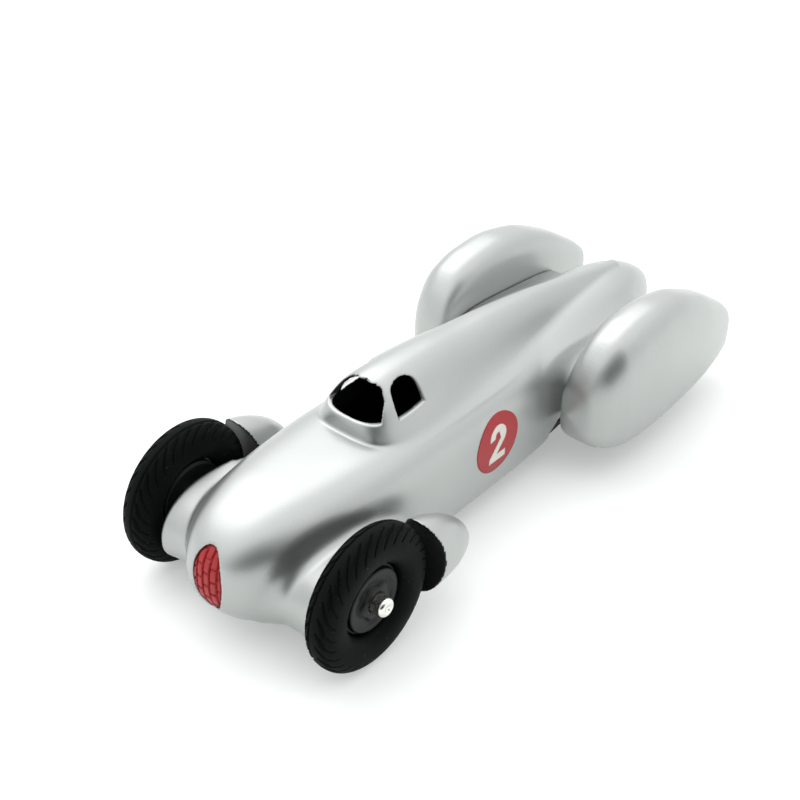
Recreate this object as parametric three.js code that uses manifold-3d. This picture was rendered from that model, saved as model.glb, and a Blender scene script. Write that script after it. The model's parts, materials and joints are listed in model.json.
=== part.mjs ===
// Pull back racing car: open moulded body, rear wheel spats, front wheel
// fairings, base plate, two wheelsets and a spring motor with its gear train.
// Millimetres. +X is the nose, +Y the car's left side, +Z up, floor at z = 0.
import * as THREE from 'three';
import { mergeVertices } from 'three/addons/utils/BufferGeometryUtils.js';
import Module from 'manifold-3d';

const wasm = await Module();
wasm.setup();

// ---------- driving dimensions ----------
const FRONT_AXLE_X = 59.4;
const REAR_AXLE_X = -37.6;
const WHEEL_R = 16;
const AXLE_Z = WHEEL_R;
const FRONT_TYRE_W = 7;
const REAR_TYRE_W = 5.4;
const HUB_R = 7.8;
const FRONT_WHEEL_Y = 24.9;
const REAR_WHEEL_Y = 21.4;
const FRONT_AXLE_R = 2.15;
const REAR_AXLE_R = 1.5;
const FRONT_AXLE_END = 30.4;
const REAR_AXLE_END = 24.6;
const GAP = 0.3;
const WALL = 1.5;
const MID_Z = 17;
const NOSE_CAP = [59.4, 78.4];
const TAIL_CAP = [-50, -73.2];
const FLARE_Y = 20;
const PLATE_Z = [5.2, 6.6];
const GRILLE = { z: 17.5, halfW: 3.7, halfH: 7.5 };
const ROUNDEL = { x: 5.4, z: 18.5, r: 7.25 };

// x, half width, bottom, top, upper exponent, lower exponent
const HULL = [
  [-76, 6.4, 7.5, 27.5, 2.3, 2.6],
  [-58.6, 9.2, 5.0, 29.3, 2.4, 3.8],
  [-35.6, 12.6, 4.4, 30.2, 2.8, 7],
  [-0.6, 15.2, 4.0, 30.8, 3.4, 11],
  [34.4, 15.6, 4.0, 31.5, 3.5, 11],
  [49.4, 14.9, 4.0, 31.6, 3.3, 9],
  [59.4, 14.0, 4.0, 31.4, 3.0, 5],
  [69.4, 12.9, 4.2, 29.6, 2.7, 3.2],
  [78.4, 12.0, 4.8, 26.6, 2.4, 2.5],
];
// x, half width at the foot, half width of the bubble, top
const CANOPY = [
  [-60, 1.9, 0.8, 29.4],
  [-46, 3.8, 1.7, 32.4],
  [-35, 5.7, 2.8, 34.7],
  [-24, 8.1, 4.2, 36.9],
  [-10, 10.9, 5.6, 38.9],
  [2, 12.2, 6.8, 40.1],
  [14, 12.5, 8.1, 41.5],
  [25, 12.4, 8.9, 42.1],
  [40, 12.4, 8.9, 42.1],
];
const CANOPY_FRONT = [25.4, 38.7];
const CANOPY_BASE = 28.8;
const CANOPY_FLARE = 3;
// x, top, bottom, half width, middle y
const POD = [
  [-78.4, 12.5, 12.5, 0.4, 21.6],
  [-77.9, 16.2, 8.4, 1.7, 21.6],
  [-75.6, 18.9, 6.6, 2.7, 21.6],
  [-68.6, 24.2, 6.2, 4.4, 21.8],
  [-59.6, 29.8, 6.1, 5.8, 22.2],
  [-47.6, 34.8, 6.0, 6.9, 22.6],
  [-37.6, 36.4, 6.0, 7.3, 22.8],
  [-30.6, 36.0, 6.1, 7.3, 22.8],
  [-24.6, 34.2, 6.7, 7.0, 22.8],
  [-19.6, 30.0, 8.0, 6.0, 22.2],
  [-16.4, 24.2, 10.6, 4.1, 20.7],
  [-14.8, 17.0, 17.0, 0.4, 18.8],
];
// x, top, bottom, half width
const FAIRING = [
  [28.5, 12.4, 11.6, 0.6],
  [29.3, 15.4, 10.2, 1.6],
  [31.5, 18.6, 9.0, 2.9],
  [36, 22.3, 8.0, 4.6],
  [42.4, 25.2, 7.6, 5.5],
  [51.4, 27.2, 7.6, 5.8],
];
const FAIRING_Y = 25;

// gear train: module, tooth counts and centres as [x, z]
const MODULE = 0.5;
const PINION_TEETH = 10;
const WHEEL_TEETH = 24;
const CENTRES = (PINION_TEETH + WHEEL_TEETH) * MODULE / 2 + 0.12;
const IDLER = [REAR_AXLE_X + CENTRES, AXLE_Z + 0.4];
const ARBOR = [IDLER[0] + CENTRES, AXLE_Z + 0.4];
const CASE = { x0: -43.6, x1: -12.2, z0: 7.0, z1: 24.3, halfW: 7.9, wall: 1.3 };
const SCREWS_X = [65.4, 44.0, -51.0];

// ---------- helpers ----------
const clamp01 = v => Math.min(1, Math.max(0, v));
const spow = (v, p) => Math.sign(v) * Math.abs(v) ** p;

// monotone cubic through the rows of a station table, column by column
function curve(rows, col) {
  const x = rows.map(r => r[0]);
  const y = rows.map(r => r[col]);
  const n = x.length;
  const slope = x.slice(1).map((v, i) => (y[i + 1] - y[i]) / (v - x[i]));
  const m = y.map((_, i) => {
    if (i === 0) return slope[0];
    if (i === n - 1) return slope[n - 2];
    const a = slope[i - 1];
    const b = slope[i];
    return a * b <= 0 ? 0 : 2 * a * b / (a + b);
  });
  return v => {
    let i = 0;
    while (i < n - 2 && v > x[i + 1]) i++;
    const h = x[i + 1] - x[i];
    const t = clamp01((v - x[i]) / h);
    const t2 = t * t;
    const t3 = t2 * t;
    return (2 * t3 - 3 * t2 + 1) * y[i] + (t3 - 2 * t2 + t) * h * m[i]
      + (3 * t2 - 2 * t3) * y[i + 1] + (t3 - t2) * h * m[i + 1];
  };
}

// closed surface through equal-length rings, ends closed by fans
function ringSolid(rings) {
  const n = rings[0].length;
  const pos = rings.flat().flatMap(p => [p[0], p[1], p[2]]);
  const index = [];
  for (let k = 0; k < rings.length - 1; k++) {
    for (let i = 0; i < n; i++) {
      const j = (i + 1) % n;
      const a = k * n + i;
      const b = k * n + j;
      index.push(a, a + n, b, b, a + n, b + n);
    }
  }
  [0, rings.length - 1].forEach((k, end) => {
    const ring = rings[k];
    const mid = [0, 1, 2].map(c => ring.reduce((s, p) => s + p[c], 0) / n);
    const apex = pos.length / 3;
    pos.push(...mid);
    for (let i = 0; i < n; i++) {
      const j = (i + 1) % n;
      if (end) index.push(apex, k * n + j, k * n + i);
      else index.push(apex, k * n + i, k * n + j);
    }
  });
  const g = new THREE.BufferGeometry();
  g.setAttribute('position', new THREE.Float32BufferAttribute(pos, 3));
  g.setIndex(index);
  return solid(g);
}

function solid(geometry) {
  let g = geometry.clone();
  g.deleteAttribute('normal');
  g.deleteAttribute('uv');
  g = mergeVertices(g, 1e-4);
  const make = flip => {
    const tri = Uint32Array.from(g.index.array);
    if (flip) {
      for (let i = 0; i < tri.length; i += 3) [tri[i], tri[i + 1]] = [tri[i + 1], tri[i]];
    }
    const mesh = new wasm.Mesh({
      numProp: 3,
      vertProperties: Float32Array.from(g.attributes.position.array),
      triVerts: tri,
    });
    return new wasm.Manifold(mesh);
  };
  const m = make(false);
  return m.volume() < 0 ? make(true) : m;
}

const unite = list => list.reduce((a, b) => a.add(b));

function box(x0, x1, y0, y1, z0, z1) {
  const g = new THREE.BoxGeometry(x1 - x0, y1 - y0, z1 - z0);
  g.translate((x0 + x1) / 2, (y0 + y1) / 2, (z0 + z1) / 2);
  return solid(g);
}

function rodY(x, z, r, y0, y1, seg = 24) {
  const g = new THREE.CylinderGeometry(r, r, y1 - y0, seg);
  g.translate(x, (y0 + y1) / 2, z);
  return solid(g);
}

function rodZ(x, y, r, z0, z1, seg = 20) {
  const g = new THREE.CylinderGeometry(r, r, z1 - z0, seg);
  g.rotateX(Math.PI / 2);
  g.translate(x, y, (z0 + z1) / 2);
  return solid(g);
}

// profile of [radius, along] turned about the Y line through (x, z)
function turnY(x, z, profile, seg = 28) {
  const pts = profile.map(p => new THREE.Vector2(p[0], p[1]));
  const g = new THREE.LatheGeometry(pts, seg);
  g.translate(x, 0, z);
  return solid(g);
}

// outline in the XZ plane pushed through y0..y1
function slabY(outline, y0, y1) {
  const s = new THREE.Shape(outline.map(p => new THREE.Vector2(p[0], p[1])));
  const g = new THREE.ExtrudeGeometry(s, { depth: y1 - y0, bevelEnabled: false });
  g.rotateX(Math.PI / 2);
  g.translate(0, y1, 0);
  return solid(g);
}

// outline in the YZ plane pushed through x0..x1
function slabX(outline, x0, x1) {
  const s = new THREE.Shape(outline.map(p => new THREE.Vector2(p[0], p[1])));
  const g = new THREE.ExtrudeGeometry(s, { depth: x1 - x0, bevelEnabled: false });
  g.rotateX(Math.PI / 2);
  g.rotateZ(Math.PI / 2);
  g.translate(x0, 0, 0);
  return solid(g);
}

const flipY = m => m.mirror([0, 1, 0]);
const span = (a, b, n) => Array.from({ length: n }, (_, i) => a + (b - a) * i / (n - 1));

// ---------- body surfaces ----------
const hullAt = [1, 2, 3, 4, 5].map(c => curve(HULL, c));
const canopyAt = [1, 2, 3].map(c => curve(CANOPY, c));
const podAt = [1, 2, 3, 4].map(c => curve(POD, c));
const fairingAt = [1, 2, 3].map(c => curve(FAIRING, c));

function capScale(x) {
  const n = clamp01((x - NOSE_CAP[0]) / (NOSE_CAP[1] - NOSE_CAP[0]));
  const t = clamp01((x - TAIL_CAP[0]) / (TAIL_CAP[1] - TAIL_CAP[0]));
  return (1 - n ** 2.8) ** (1 / 2.4) * (1 - t ** 2.3) ** (1 / 2.1);
}

// one fuselage ring; inset moves it inwards
function hullRing(x, inset = 0, n = 28, xOut = x) {
  const k = capScale(x);
  const [w0, b, t, eu, el] = hullAt.map(f => f(x));
  const w = Math.max(0.4, w0 * k - inset);
  const top = MID_Z + Math.max(0.4, (t - MID_Z) * k - inset);
  const bot = MID_Z - Math.max(0.4, (MID_Z - b) * k - inset);
  return Array.from({ length: n }, (_, i) => {
    const a = 2 * Math.PI * i / n;
    const c = Math.cos(a);
    const s = Math.sin(a);
    if (s >= -1e-9) return [xOut, w * spow(c, 2 / eu), MID_Z + (top - MID_Z) * Math.abs(s) ** (2 / eu)];
    const z = MID_Z - (MID_Z - bot) * Math.abs(s) ** (2 / el);
    const u = Math.min(1, (MID_Z - z) / 13);
    return [xOut, w * spow(c, 2 / el) * (1 - 0.07 * u * u), z];
  });
}

const hullStations = [
  -73.1, -72.4, -70.5, -67, -61, -52, -40, -26, -8, 12, 32, 46,
  57, 64, 69, 72.8, 75.6, 77.4, 78.2,
];

function hull(inset = 0) {
  return ringSolid(hullStations.map(x => hullRing(x, inset)));
}

function hullInside() {
  const xs = [-70.5, -67, -61, -52, -40, -26, -8, 12, 32, 46, 57, 64, 69, 72.8, 74.6];
  return ringSolid(xs.map(x => hullRing(x, WALL, 22, x * 0.965 + 0.3)));
}

// half width of the fuselage near its bottom, where the base plate sits
function sillHalf(x) {
  const k = capScale(x);
  const [w, b, , , el] = hullAt.map(f => f(x));
  const u = (MID_Z - PLATE_Z[1]) / (MID_Z - b) / k;
  return w * k * (1 - Math.min(0.96, u) ** el) ** (1 / el) * 0.95 - 1.3;
}

// base plate outline in XY, grown for the opening it sits in
function plateSlab(grow, z0, z1) {
  const xs = [-57, -52, -42, -30, -15, 0, 16, 32, 44, 53, 60, 65, 69];
  const half = xs.map(x => sillHalf(x) + grow);
  const ends = xs.map((x, i) => x + (i === 0 ? -grow : i === xs.length - 1 ? grow : 0));
  const outline = ends.map((x, i) => [x, half[i]]).concat(ends.map((x, i) => [x, -half[i]]).reverse());
  const shape = new THREE.Shape(outline.map(p => new THREE.Vector2(p[0], p[1])));
  const g = new THREE.ExtrudeGeometry(shape, { depth: z1 - z0, bevelEnabled: false });
  g.translate(0, 0, z0);
  return solid(g);
}

function canopyRing(x, inset, n = inset ? 9 : 13) {
  const f = clamp01((x - CANOPY_FRONT[0]) / (CANOPY_FRONT[1] - CANOPY_FRONT[0]));
  const g = clamp01((x - 24) / (CANOPY_FRONT[1] - 24));
  const kw = (1 - f ** 3) ** (1 / 3);
  const kb = (1 - f ** 4.2) ** (1 / 4.2);
  const [w0, b0, t] = canopyAt.map(c => c(x));
  const base = CANOPY_BASE - 1.5 * clamp01((10 - x) / 70);
  const b = Math.max(0.3, b0 * kb - inset);
  const w = inset ? b : Math.max(b, w0 * kw);
  const top = base + Math.max(0.3, (t - base) * (1 - g ** 3.2) ** (1 / 2.2) - inset);
  const xs = inset ? x - inset * f : x;
  const ring = [];
  for (let i = 0; i < n; i++) {
    const a = Math.PI * i / (n - 1);
    const c = Math.cos(a);
    const z = base + (top - base) * Math.sin(a) ** (2 / 2.2);
    const flare = (w - b) * Math.exp(-(z - base) / CANOPY_FLARE);
    ring.push([xs, b * spow(c, 2 / 2.2) + (Math.abs(c) < 1e-9 ? 0 : Math.sign(c) * flare), z]);
  }
  const low = inset ? 24 : 25.5;
  ring.push([xs, -0.7 * w, low], [xs, 0.7 * w, low]);
  return ring;
}

const canopyStations = [-58, -44, -30, -16, -2, 12, 22, 28, 32, 35, 37, 38.2, 38.65];

function canopy(inset = 0) {
  return ringSolid(canopyStations.map(x => canopyRing(x, inset)));
}

// side bulge whose outline is a superellipse in XZ, lofted from y0 out to y1;
// lean makes its top rise towards the nose, as a share of its height per millimetre
function sideLoft(y0, y1, outline, steps, seg = 22, power = 2.2, lean = 0) {
  return ringSolid(span(y0, y1, steps).map(y => {
    const o = outline(y);
    return Array.from({ length: seg }, (_, i) => {
      const a = 2 * Math.PI * i / seg;
      const c = Math.cos(a);
      const s = Math.sin(a);
      const x = o.x + (c > 0 ? o.fore : o.aft) * spow(c, 2 / power);
      const rise = s > 0 ? o.up * (1 + lean * (x - o.x)) : o.down;
      const z = o.z + rise * spow(s, 2 / power);
      return [x, y, z];
    });
  }));
}

// swelling that carries the front axle out to the wheel
function frontFlare(inset) {
  const end = FLARE_Y - (inset ? WALL : 0);
  return sideLoft(inset ? 11 : 8, end, y => {
    const t = clamp01((y - 8) / (end - 8));
    const waist = 1 + 0.06 * (1 - t) ** 3 - 0.06 * Math.sin(Math.PI * t);
    return {
      x: 58.4, z: 12.5, fore: 13 * waist - inset, aft: 24 - 5 * t - inset,
      up: 9.8 * waist - inset, down: inset ? 16 : 8.3,
    };
  }, 5);
}

// web that joins the body side to a rear spat, swept forward where it meets the body
function web(inset) {
  return sideLoft(inset ? 10 : 8, inset ? 13.6 : 17.5, y => {
    const near = 1 - clamp01((y - 12) / 4.5);
    return {
      x: -38, z: 17.5, fore: 20 + 6 * near ** 2 - inset, aft: 22 - inset,
      up: 7.2 + 1.2 * near ** 2 - inset, down: inset ? 24 : 5.4,
    };
  }, 7, 22, 3.2, 0.015);
}

function podRing(x, inset, floor) {
  const [t, b, w0, yc] = podAt.map(f => f(x));
  const top = t - inset;
  const bot = floor ?? b + inset;
  const w = Math.max(0.3, w0 - inset);
  const mid = (top + bot) / 2;
  const h = Math.max(0.3, (top - bot) / 2);
  const n = 20;
  return Array.from({ length: n }, (_, i) => {
    const a = 2 * Math.PI * i / n;
    const c = Math.cos(a);
    const s = Math.sin(a);
    const e = s < 0 ? 2 / 5 : c > 0 ? 2 / 2.3 : 2 / 3.2;
    return [x, yc + w * spow(c, e), mid + h * spow(s, e)];
  });
}

const podStations = [-78.4, -77.8, -75.6, -68.6, -58, -47.6, -37.6, -29, -22.5, -18.2, -15.8, -14.8];

function pod(inset = 0) {
  return ringSolid(podStations.map(x => podRing(x, inset)));
}

function podInside() {
  const xs = [-70, -62, -50, -37.6, -29, -22.5, -18.4];
  return ringSolid(xs.map(x => podRing(x, 1.3, -14)));
}

function fairingSolid(grow = 0) {
  const xs = [28.5, 29.3, 31.5, 36, 42.4, 48];
  return ringSolid(xs.map(x => {
    const [t, b, w] = fairingAt.map((f, i) => f(x) + (i === 1 ? -grow : grow));
    return Array.from({ length: 20 }, (_, i) => {
      const a = 2 * Math.PI * i / 20;
      const z = (t + b) / 2 + (t - b) / 2 * spow(Math.sin(a), 0.95);
      return [x, FAIRING_Y + w * spow(Math.cos(a), 0.95), z];
    });
  }));
}

function oval(cx, cz, a, b, n = 24) {
  return Array.from({ length: n }, (_, i) => {
    const t = 2 * Math.PI * i / n;
    return [cx + a * Math.cos(t), cz + b * Math.sin(t)];
  });
}

const WINDSCREEN = [
  [-7.1, 35.1], [0, 35.1], [7.1, 35.1], [5.65, 38.4], [3.6, 40.5], [0, 41.1], [-3.6, 40.5], [-5.65, 38.4],
];
const SIDE_WINDOW = [
  [30.75, 34.6], [30.5, 37.6], [29.5, 39.8], [26.9, 40.7], [24.6, 40.6],
  [23.1, 39.8], [22.65, 38.2], [22.5, 35.1], [26.3, 34.7],
];

// ---------- materials ----------
function paint(color, roughness, metalness) {
  return new THREE.MeshStandardMaterial({ color, roughness, metalness });
}
const SILVER = paint(0xc9ccca, 0.3, 0.75);
const BLACK = paint(0x17191a, 0.5, 0);
const RUBBER = paint(0x1a1c1d, 0.75, 0);
const STEEL = paint(0xd0d2d4, 0.22, 1);
const RED = paint(0xb8393f, 0.5, 0);
const NYLON = paint(0xe6e2d6, 0.5, 0);
const BRASS = paint(0xb89a52, 0.35, 0.9);
const SPRING = paint(0x5b6470, 0.3, 1);

const car = new THREE.Group();
car.name = 'pull_back_car';

function add(name, m, material) {
  const mesh = m.getMesh();
  const g = new THREE.BufferGeometry();
  const p = new Float32Array(mesh.numVert * 3);
  for (let i = 0; i < mesh.numVert; i++) {
    for (let c = 0; c < 3; c++) p[3 * i + c] = mesh.vertProperties[i * mesh.numProp + c];
  }
  g.setAttribute('position', new THREE.BufferAttribute(p, 3));
  g.setIndex(new THREE.BufferAttribute(Uint32Array.from(mesh.triVerts), 1));
  g.computeVertexNormals();
  const node = new THREE.Mesh(g, material);
  node.name = name;
  car.add(node);
}

// ---------- body shell ----------
const podOuter = pod();
const podKeepOut = pod(-GAP);
const flareIn = frontFlare(WALL);
const webIn = web(WALL);

let shell = unite([hull(), canopy(), frontFlare(0), flipY(frontFlare(0)), web(0), flipY(web(0))]);
const roomInside = unite([
  hullInside(), plateSlab(GAP, 0, 9), canopy(1.4), flareIn, flipY(flareIn), webIn, flipY(webIn),
]);
shell = shell.subtract(roomInside);
shell = shell.subtract(podKeepOut).subtract(flipY(podKeepOut));

// screw posts hang from the roof of the shell down to the base plate
const posts = SCREWS_X.map(x => rodZ(x, 0, 2.8, PLATE_Z[1] + GAP, 33, 16));
shell = shell.add(unite(posts).intersect(hull(0.6)));
for (const x of SCREWS_X) shell = shell.subtract(rodZ(x, 0, 1.3, 0, 17, 12));

// windows, axle holes, nose recess and sticker recesses
shell = shell.subtract(slabX(WINDSCREEN, 30.8, 45));
shell = shell.subtract(slabY(SIDE_WINDOW, -14, 14));
shell = shell.subtract(rodY(FRONT_AXLE_X, AXLE_Z, FRONT_AXLE_R + 0.7, -22, 22, 16));
shell = shell.subtract(rodY(REAR_AXLE_X, AXLE_Z, REAR_AXLE_R + 0.7, -22, 22, 16));
const { z: gz, halfW: gw, halfH: gh } = GRILLE;
const noseBlock = slabX(oval(0, gz, gw + 1.6, gh + 1.6), 68, 78.3).intersect(hull(0.2));
shell = shell.add(noseBlock.subtract(rodZ(SCREWS_X[0], 0, 3, 0, 17, 12)));
shell = shell.subtract(slabX(oval(0, gz, gw + GAP, gh + GAP), 60, 80).subtract(hull(1.7)));
const sticker = rodY(ROUNDEL.x, ROUNDEL.z, ROUNDEL.r, 8, 18, 28);
const stickerRoom = rodY(ROUNDEL.x, ROUNDEL.z, ROUNDEL.r + 0.2, 8, 18, 28).subtract(hull(0.45));
shell = shell.subtract(stickerRoom).subtract(flipY(stickerRoom));

// ---------- front wheel fairings with their stubs ----------
const stub = sideLoft(12.6, 24, () => ({ x: 40, z: 12.5, fore: 4, aft: 5, up: 3.4, down: 3.4 }), 2, 16);
const stubRoom = sideLoft(10, 24, () => ({ x: 40, z: 12.5, fore: 4.3, aft: 5.3, up: 3.7, down: 3.7 }), 2, 16);
const scoop = rodY(FRONT_AXLE_X, AXLE_Z, WHEEL_R + 1.5, 10, 34, 48);
const fairing = fairingSolid().add(stub).subtract(scoop);
const fairingRoom = stubRoom.add(fairingSolid(GAP));
shell = shell.subtract(fairingRoom).subtract(flipY(fairingRoom));
add('body_shell', shell, SILVER);
add('front_fairing_left', fairing, SILVER);
add('front_fairing_right', flipY(fairing), SILVER);

// ---------- rear spats ----------
let spat = podOuter.subtract(podInside());
spat = spat.subtract(rodY(REAR_AXLE_X, AXLE_Z, REAR_AXLE_R + 0.7, 14, 22, 16));
add('rear_spat_left', spat, SILVER);
add('rear_spat_right', flipY(spat), SILVER);

// ---------- grille and stickers ----------
let grille = slabX(oval(0, gz, gw, gh), 60, 80).intersect(hull(0.5)).subtract(hull(1.4));
add('nose_grille', grille, RED);
const disc = sticker.intersect(hull(-0.2)).subtract(hull(0.2));
add('roundel_left', disc, RED);
add('roundel_right', flipY(disc), RED);

// ---------- base plate ----------
let plate = plateSlab(0, PLATE_Z[0], PLATE_Z[1]);
for (const y of [-9.5, 6.5]) {
  plate = plate.add(box(FRONT_AXLE_X - 4, FRONT_AXLE_X + 4, y, y + 3, PLATE_Z[0], AXLE_Z + 4));
}
plate = plate.subtract(rodY(FRONT_AXLE_X, AXLE_Z, FRONT_AXLE_R + GAP, -12, 12, 20));
for (const y of [-CASE.halfW - 1.6, CASE.halfW + GAP]) {
  plate = plate.add(box(CASE.x0 + 10, CASE.x1 - 2, y, y + 1.3, PLATE_Z[0], 11));
}
for (const x of SCREWS_X) {
  plate = plate.subtract(rodZ(x, 0, 1.4, 0, 10, 16)).subtract(rodZ(x, 0, 2.6, 0, PLATE_Z[0] + 0.7, 20));
}
add('base_plate', plate, BLACK);

// ---------- screws ----------
SCREWS_X.forEach((x, i) => {
  const head = rodZ(x, 0, 2.3, PLATE_Z[0] - 0.6, PLATE_Z[0] + 0.6, 16);
  const slot = box(x - 3, x + 3, -0.3, 0.3, 0, PLATE_Z[0] - 0.1);
  const screw = head.add(rodZ(x, 0, 1.05, PLATE_Z[0], 15.5, 12)).subtract(slot);
  add(`base_screw_${i + 1}`, screw, STEEL);
});

// ---------- wheels and axles ----------
function tyreAt(x, y, width) {
  const h = width / 2;
  const r = WHEEL_R;
  const b = HUB_R + GAP;
  const profile = [
    [b, -h + 1.2], [b + 1.6, -h], [r - 2.4, -h + 0.2], [r - 0.6, -h + 1.3],
    [r, 0],
    [r - 0.6, h - 1.3], [r - 2.4, h - 0.2], [b + 1.6, h], [b, h - 1.2], [b, -h + 1.2],
  ];
  return turnY(x, AXLE_Z, profile.map(p => [p[0], p[1] + y]), 28);
}

function hubAt(x, y, out, axleR) {
  const bore = axleR + GAP;
  const profile = [
    [bore, -2.6], [HUB_R, -2.6], [HUB_R, 2.2], [HUB_R - 1.2, 2.2], [3.6, 0.4],
    [3.2, 1.7], [bore, 1.7], [bore, -2.6],
  ];
  return turnY(x, AXLE_Z, profile.map(p => [p[0], out * p[1] + y]), 22);
}

const AXLES = [
  ['front', FRONT_AXLE_X, FRONT_WHEEL_Y, FRONT_TYRE_W, FRONT_AXLE_R, FRONT_AXLE_END],
  ['rear', REAR_AXLE_X, REAR_WHEEL_Y, REAR_TYRE_W, REAR_AXLE_R, REAR_AXLE_END],
];
for (const [end, x, y, width, r, tip] of AXLES) {
  add(`${end}_tyre_left`, tyreAt(x, y, width), RUBBER);
  add(`${end}_tyre_right`, tyreAt(x, -y, width), RUBBER);
  add(`${end}_hub_left`, hubAt(x, y, 1, r), BLACK);
  add(`${end}_hub_right`, hubAt(x, -y, -1, r), BLACK);
  add(`${end}_axle`, axle(x, r, tip), STEEL);
}

function axle(x, r, end) {
  const profile = [
    [0, -end], [r - 0.4, -end], [r, -end + 0.5], [r, end - 0.5], [r - 0.4, end], [0, end],
  ];
  return turnY(x, AXLE_Z, profile, 20);
}

// ---------- spring motor ----------
function gearOutline(teeth, phase) {
  const r = MODULE * teeth / 2;
  const pts = [];
  const step = 2 * Math.PI / teeth;
  const shape = [[-0.30, -1.1], [-0.12, 0.85], [0.12, 0.85], [0.30, -1.1]];
  for (let i = 0; i < teeth; i++) {
    for (const [da, dr] of shape) {
      const a = (i + da) * step + phase;
      const q = r + dr * MODULE;
      pts.push([q * Math.cos(a), q * Math.sin(a)]);
    }
  }
  return pts;
}

function gear(centre, teeth, y0, y1, bore, phase) {
  const pts = gearOutline(teeth, phase).map(p => [p[0] + centre[0], p[1] + centre[1]]);
  const disc3 = slabY(pts, y0, y1);
  return bore ? disc3.subtract(rodY(centre[0], centre[1], bore, y0 - 1, y1 + 1, 16)) : disc3;
}

const axleCentre = [REAR_AXLE_X, AXLE_Z];
const halfTooth = teeth => Math.PI / teeth;
const lineUp = Math.atan2(IDLER[1] - AXLE_Z, IDLER[0] - REAR_AXLE_X);
add('axle_pinion', gear(axleCentre, PINION_TEETH, -1.2, 2.6, REAR_AXLE_R + 0.05, lineUp), BRASS);

// the idler wheel meets the axle pinion, the idler pinion meets the spring wheel
const backwards = lineUp + Math.PI;
const idlerWheel = gear(IDLER, WHEEL_TEETH, 0, 1.8, 0, backwards + halfTooth(WHEEL_TEETH));
const idlerPinion = gear(IDLER, PINION_TEETH, -3.4, 0.2, 0, 0);
const idler = idlerWheel.add(idlerPinion).subtract(rodY(IDLER[0], IDLER[1], 1.05, -6, 6, 16));
add('idler_gear', idler, NYLON);
add('idler_pin', rodY(IDLER[0], IDLER[1], 0.8, -CASE.halfW + 0.5, CASE.halfW - 0.5, 16), STEEL);

const springWheel = gear(ARBOR, WHEEL_TEETH, -2.9, -1.1, 0, Math.PI + halfTooth(WHEEL_TEETH))
  .add(rodY(ARBOR[0], ARBOR[1], 1.6, -CASE.halfW + 1.6, CASE.halfW - 1.6, 16));
add('spring_gear', springWheel, NYLON);

const turns = 3.75;
const coil = side => span(0, 1, 74).map(t => {
  const a = 2 * Math.PI * turns * t;
  const r = 2.2 + 3.9 * t + side;
  return [ARBOR[0] + r * Math.cos(a), ARBOR[1] + r * Math.sin(a)];
});
add('mainspring', slabY(coil(0.18).concat(coil(-0.18).reverse()), 2.2, 6.2), SPRING);

// case in two halves that meet on the centre plane
function caseHalf(sign) {
  const { x0, x1, z0, z1, halfW, wall } = CASE;
  const lo = sign > 0 ? 0.15 : -halfW;
  const hi = sign > 0 ? halfW : -0.15;
  const inLo = sign > 0 ? -1 : -halfW + wall;
  const inHi = sign > 0 ? halfW - wall : 1;
  const block = box(x0, x1, lo, hi, z0, z1);
  let half = block.subtract(box(x0 + wall, x1 - wall, inLo, inHi, z0 + wall, z1 - wall));
  for (const [x, z] of CASE_SCREWS) {
    half = half.add(rodY(x, z, 1.7, lo, hi, 12).intersect(block));
    half = half.subtract(rodY(x, z, sign > 0 ? 0.95 : 1.0, -12, 12, 12));
  }
  half = half.subtract(rodY(REAR_AXLE_X, AXLE_Z, REAR_AXLE_R + 0.35, -12, 12, 20));
  half = half.subtract(rodY(IDLER[0], IDLER[1], 1.0, -12, 12, 16));
  return half;
}
const CASE_SCREWS = [[CASE.x0 + 2.2, CASE.z1 - 4.2], [CASE.x0 + 2.2, CASE.z0 + 2.2]];
add('motor_case_left', caseHalf(1), BLACK);
add('motor_case_right', caseHalf(-1), BLACK);
CASE_SCREWS.forEach(([x, z], i) => {
  const screw = rodY(x, z, 0.75, -CASE.halfW - 0.2, CASE.halfW - 1.5, 12)
    .add(rodY(x, z, 1.5, -CASE.halfW - 1.2, -CASE.halfW - 0.1, 12));
  add(`motor_screw_${i + 1}`, screw, STEEL);
});

export default car;
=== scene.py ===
"""Silver pull back racing car: painted body, spats, fairings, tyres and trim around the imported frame.

The shapes are in millimetres, as +X nose, +Y the car's left side, +Z up, and become metres in add_mesh.
Body parts are lofts turned into distance fields, joined with round fillets and meshed again.
"""
import json
import math

import bmesh
import bpy
import numpy as np
import openvdb as vdb
from mathutils import Matrix, Vector


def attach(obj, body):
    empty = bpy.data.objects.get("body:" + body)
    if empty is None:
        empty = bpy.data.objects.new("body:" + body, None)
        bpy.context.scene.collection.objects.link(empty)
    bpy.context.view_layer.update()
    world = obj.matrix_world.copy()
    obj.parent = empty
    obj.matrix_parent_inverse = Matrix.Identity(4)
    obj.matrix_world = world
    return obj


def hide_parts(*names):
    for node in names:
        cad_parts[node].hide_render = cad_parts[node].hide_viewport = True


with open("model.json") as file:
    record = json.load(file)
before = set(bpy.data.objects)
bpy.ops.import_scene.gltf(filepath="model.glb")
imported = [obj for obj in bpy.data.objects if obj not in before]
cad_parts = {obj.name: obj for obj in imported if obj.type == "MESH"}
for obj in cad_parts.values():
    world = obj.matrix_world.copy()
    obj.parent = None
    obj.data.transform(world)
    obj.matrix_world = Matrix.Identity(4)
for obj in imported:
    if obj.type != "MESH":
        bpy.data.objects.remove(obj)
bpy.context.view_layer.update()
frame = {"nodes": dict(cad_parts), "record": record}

MM = 0.001
VOXEL = 0.3
BAND = 7.0

# ---------- driving dimensions ----------
FRONT_AXLE_X = 59.4
REAR_AXLE_X = -37.6
WHEEL_R = 16.0
AXLE_Z = WHEEL_R
BORE_R = 8.1
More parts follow.
